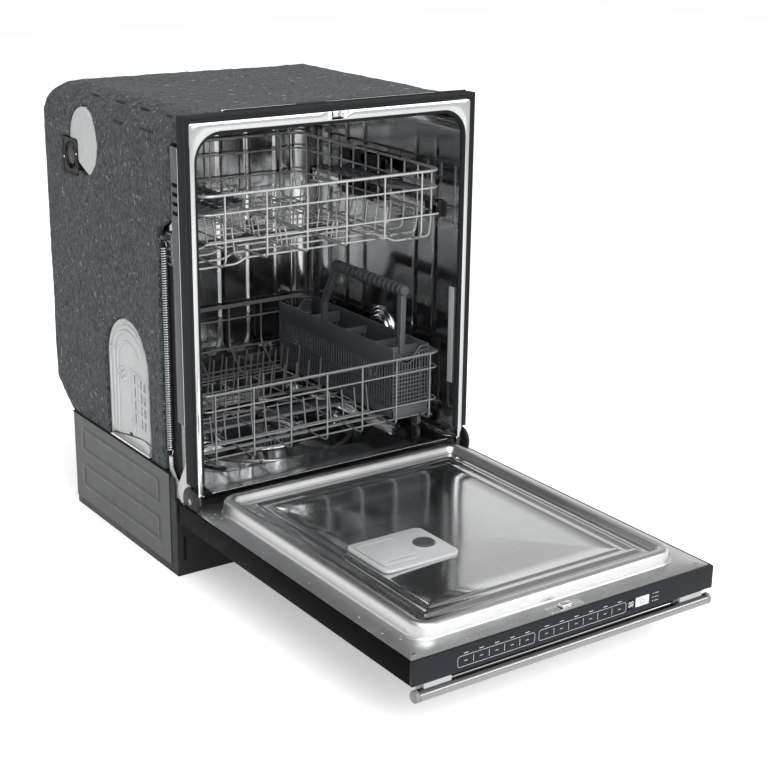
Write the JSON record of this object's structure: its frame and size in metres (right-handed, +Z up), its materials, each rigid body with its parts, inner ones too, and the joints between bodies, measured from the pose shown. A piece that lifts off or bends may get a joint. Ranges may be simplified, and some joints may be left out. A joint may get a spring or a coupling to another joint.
{
  "type": "built-in dishwasher",
  "caption": "Under-counter dishwasher: let-down door with bar handle, insulated stainless tub, two sliding wire racks, spray arms, silverware basket.",
  "frame": {"origin": "bottom centre of the whole with the door open and both racks in, on the floor", "axes": "+Z up, -Y towards the user and the open door, +X to the right as seen from the front"},
  "size_m": [0.606, 1.2428, 0.842],
  "materials": {
    "stainless": "bright polished pressed sheet",
    "brushed_stainless": "brushed along its length",
    "zinc_steel": "dull grey zinc plate",
    "felt": "needled felt with short loose fibres",
    "black_plastic": "fine matt grain",
    "console_plastic": "satin dark grey",
    "panel_grey": "satin grey paint",
    "rubber": "matt black",
    "wire_silver": "silver grey nylon coating over steel wire",
    "wire_grey": "darker grey nylon coating over steel wire",
    "dark_plastic": "satin dark grey polypropylene",
    "white_plastic": "milky white polypropylene",
    "light_grey": "satin light grey",
    "key_grey": "light grey film"
  },
  "bodies": {
    "cabinet": {"tub": "stainless", "insulation_blanket": "felt", "trim_left": "black_plastic", "trim_right": "black_plastic", "trim_top": "black_plastic", "door_seal": "rubber", "hinge_frame_left": "zinc_steel", "hinge_frame_right": "zinc_steel", "door_spring_left": "zinc_steel", "door_spring_right": "zinc_steel", "vent_duct": "white_plastic", "fan_housing": "black_plastic", "fill_chamber": "white_plastic", "wall_vent_cap": "light_grey", "base_pan": "black_plastic", "side_panel_left": "panel_grey", "side_panel_right": "panel_grey", "sump": "dark_plastic", "wash_pump": "dark_plastic", "heating_element": "zinc_steel", "rail_fixed_left": "zinc_steel", "rail_fixed_right": "zinc_steel"},
    "door": {"door_liner": "stainless", "door_shell": "black_plastic", "outer_panel": "brushed_stainless", "console": "console_plastic", "hinge_arm_left": "zinc_steel", "hinge_arm_right": "zinc_steel", "handle_bar": "brushed_stainless", "handle_post_left": "light_grey", "handle_post_right": "light_grey", "dispenser": "light_grey"},
    "upper_carriage": {"height_adjuster_left": "dark_plastic", "height_adjuster_right": "dark_plastic"},
    "upper_rack": {"upper_rack": "wire_silver"},
    "lower_rack": {"lower_rack": "wire_grey", "silverware_basket": "dark_plastic"},
    "start_key": {"start_key": "key_grey"},
    "latch_bolt": {"latch_bolt": "stainless"},
    "dispenser_lid": {"dispenser_lid": "light_grey"},
    "fan_rotor": {"fan_rotor": "black_plastic"},
    "filter": {"filter": "dark_plastic"},
    "float": {"float": "light_grey"},
    "spray_arm_lower": {"spray_arm_lower": "dark_plastic"},
    "spray_arm_upper": {"spray_arm_upper": "dark_plastic"},
    "folding_tines": {"folding_tines": "wire_grey"},
    "spring_link_left": {"spring_link_left": "white_plastic"},
    "spring_link_right": {"spring_link_right": "white_plastic"},
    "rail_middle_left": {"rail_middle_left": "zinc_steel"},
    "rail_middle_right": {"rail_middle_right": "zinc_steel"},
    "cup_shelf_left": {"cup_shelf_left": "dark_plastic"},
    "cup_shelf_right": {"cup_shelf_right": "dark_plastic"},
    "rack_wheel_1_left": {"rack_wheel_1_left": "dark_plastic"},
    "rack_wheel_1_right": {"rack_wheel_1_right": "dark_plastic"},
    "rack_wheel_2_left": {"rack_wheel_2_left": "dark_plastic"},
    "rack_wheel_2_right": {"rack_wheel_2_right": "dark_plastic"},
    "rack_wheel_3_left": {"rack_wheel_3_left": "dark_plastic"},
    "rack_wheel_3_right": {"rack_wheel_3_right": "dark_plastic"},
    "rack_wheel_4_left": {"rack_wheel_4_left": "dark_plastic"},
    "rack_wheel_4_right": {"rack_wheel_4_right": "dark_plastic"}
  },
  "joints": [
    {"name": "door_hinge", "type": "hinge", "parent": "cabinet", "child": "door", "pos_m": [0, 0.057, 0.1645], "axis": [1, 0, 0], "range_deg": [-90, 0]},
    {"name": "start_key_press", "type": "slide", "parent": "door", "child": "start_key", "axis": [0, 1, 0], "range_m": [0, 0.0005], "stiffness_N_per_m": 800},
    {"name": "latch_bolt_slide", "type": "slide", "parent": "door", "child": "latch_bolt", "axis": [0, 0, 1], "range_m": [-0.004, 0], "stiffness_N_per_m": 400},
    {"name": "dispenser_lid_slide", "type": "slide", "parent": "door", "child": "dispenser_lid", "axis": [0, 1, 0], "range_m": [-0.05, 0]},
    {"name": "fan_spin", "type": "hinge", "parent": "cabinet", "child": "fan_rotor", "pos_m": [-0.292, 0.5005, 0.71], "axis": [1, 0, 0], "continuous": true},
    {"name": "filter_twist", "type": "hinge", "parent": "cabinet", "child": "filter", "pos_m": [0.042, 0.3335, 0.15], "axis": [0, 0, 1], "range_deg": [-45, 0]},
    {"name": "float_rise", "type": "slide", "parent": "cabinet", "child": "float", "axis": [0, 0, 1], "range_m": [0, 0.008]},
    {"name": "lower_arm_spin", "type": "hinge", "parent": "cabinet", "child": "spray_arm_lower", "pos_m": [0, 0.3335, 0.183], "axis": [0, 0, 1], "continuous": true},
    {"name": "spring_link_left_slide", "type": "slide", "parent": "cabinet", "child": "spring_link_left", "axis": [0, 0, 1], "range_m": [0, 0.045], "deforming": ["door_spring_left"]},
    {"name": "spring_link_right_slide", "type": "slide", "parent": "cabinet", "child": "spring_link_right", "axis": [0, 0, 1], "range_m": [0, 0.045], "deforming": ["door_spring_right"]},
    {"name": "upper_carriage_slide", "type": "slide", "parent": "cabinet", "child": "upper_carriage", "axis": [0, -1, 0], "range_m": [0, 0.3315]},
    {"name": "rail_middle_left_slide", "type": "slide", "parent": "cabinet", "child": "rail_middle_left", "axis": [0, -1, 0], "range_m": [0, 0.166]},
    {"name": "rail_middle_right_slide", "type": "slide", "parent": "cabinet", "child": "rail_middle_right", "axis": [0, -1, 0], "range_m": [0, 0.166]},
    {"name": "upper_rack_height", "type": "slide", "parent": "upper_carriage", "child": "upper_rack", "axis": [0, 0, 1], "range_m": [-0.04, 0]},
    {"name": "upper_arm_spin", "type": "hinge", "parent": "upper_rack", "child": "spray_arm_upper", "pos_m": [0, 0.33, 0.55], "axis": [0, 0, 1], "continuous": true},
    {"name": "cup_shelf_left_fold", "type": "hinge", "parent": "upper_rack", "child": "cup_shelf_left", "pos_m": [-0.241, 0.2295, 0.655], "axis": [0, 1, 0], "range_deg": [-75, 0]},
    {"name": "cup_shelf_right_fold", "type": "hinge", "parent": "upper_rack", "child": "cup_shelf_right", "pos_m": [0.241, 0.2295, 0.655], "axis": [0, -1, 0], "range_deg": [-75, 0]},
    {"name": "lower_rack_slide", "type": "slide", "parent": "cabinet", "child": "lower_rack", "axis": [0, -1, 0], "range_m": [0, 0.5]},
    {"name": "folding_tines_fold", "type": "hinge", "parent": "lower_rack", "child": "folding_tines", "pos_m": [-0.126, 0.2615, 0.222], "axis": [1, 0, 0], "range_deg": [-90, 0]},
    {"name": "rack_wheel_1_left_roll", "type": "hinge", "parent": "lower_rack", "child": "rack_wheel_1_left", "pos_m": [-0.252, 0.1465, 0.1885], "axis": [1, 0, 0], "range_deg": [0, 2160]},
    {"name": "rack_wheel_1_right_roll", "type": "hinge", "parent": "lower_rack", "child": "rack_wheel_1_right", "pos_m": [0.252, 0.1465, 0.1885], "axis": [1, 0, 0], "range_deg": [0, 2160]},
    {"name": "rack_wheel_2_left_roll", "type": "hinge", "parent": "lower_rack", "child": "rack_wheel_2_left", "pos_m": [-0.252, 0.2475, 0.1885], "axis": [1, 0, 0], "range_deg": [0, 2160]},
    {"name": "rack_wheel_2_right_roll", "type": "hinge", "parent": "lower_rack", "child": "rack_wheel_2_right", "pos_m": [0.252, 0.2475, 0.1885], "axis": [1, 0, 0], "range_deg": [0, 2160]},
    {"name": "rack_wheel_3_left_roll", "type": "hinge", "parent": "lower_rack", "child": "rack_wheel_3_left", "pos_m": [-0.252, 0.4255, 0.1885], "axis": [1, 0, 0], "range_deg": [0, 2160]},
    {"name": "rack_wheel_3_right_roll", "type": "hinge", "parent": "lower_rack", "child": "rack_wheel_3_right", "pos_m": [0.252, 0.4255, 0.1885], "axis": [1, 0, 0], "range_deg": [0, 2160]},
    {"name": "rack_wheel_4_left_roll", "type": "hinge", "parent": "lower_rack", "child": "rack_wheel_4_left", "pos_m": [-0.252, 0.5295, 0.1885], "axis": [1, 0, 0], "range_deg": [0, 2160]},
    {"name": "rack_wheel_4_right_roll", "type": "hinge", "parent": "lower_rack", "child": "rack_wheel_4_right", "pos_m": [0.252, 0.5295, 0.1885], "axis": [1, 0, 0], "range_deg": [0, 2160]}
  ],
  "couplings": [
    {"joint": "rail_middle_left_slide", "follows": "upper_carriage_slide", "ratio": 0.5},
    {"joint": "rail_middle_right_slide", "follows": "upper_carriage_slide", "ratio": 0.5},
    {"joint": "spring_link_left_slide", "follows": "door_hinge", "m_per_rad": -0.0286},
    {"joint": "spring_link_right_slide", "follows": "door_hinge", "m_per_rad": -0.0286},
    {"joint": "rack_wheel_1_left_roll", "follows": "lower_rack_slide", "rad_per_m": 75.19},
    {"joint": "rack_wheel_1_right_roll", "follows": "lower_rack_slide", "rad_per_m": 75.19},
    {"joint": "rack_wheel_2_left_roll", "follows": "lower_rack_slide", "rad_per_m": 75.19},
    {"joint": "rack_wheel_2_right_roll", "follows": "lower_rack_slide", "rad_per_m": 75.19},
    {"joint": "rack_wheel_3_left_roll", "follows": "lower_rack_slide", "rad_per_m": 75.19},
    {"joint": "rack_wheel_3_right_roll", "follows": "lower_rack_slide", "rad_per_m": 75.19},
    {"joint": "rack_wheel_4_left_roll", "follows": "lower_rack_slide", "rad_per_m": 75.19},
    {"joint": "rack_wheel_4_right_roll", "follows": "lower_rack_slide", "rad_per_m": 75.19}
  ]
}
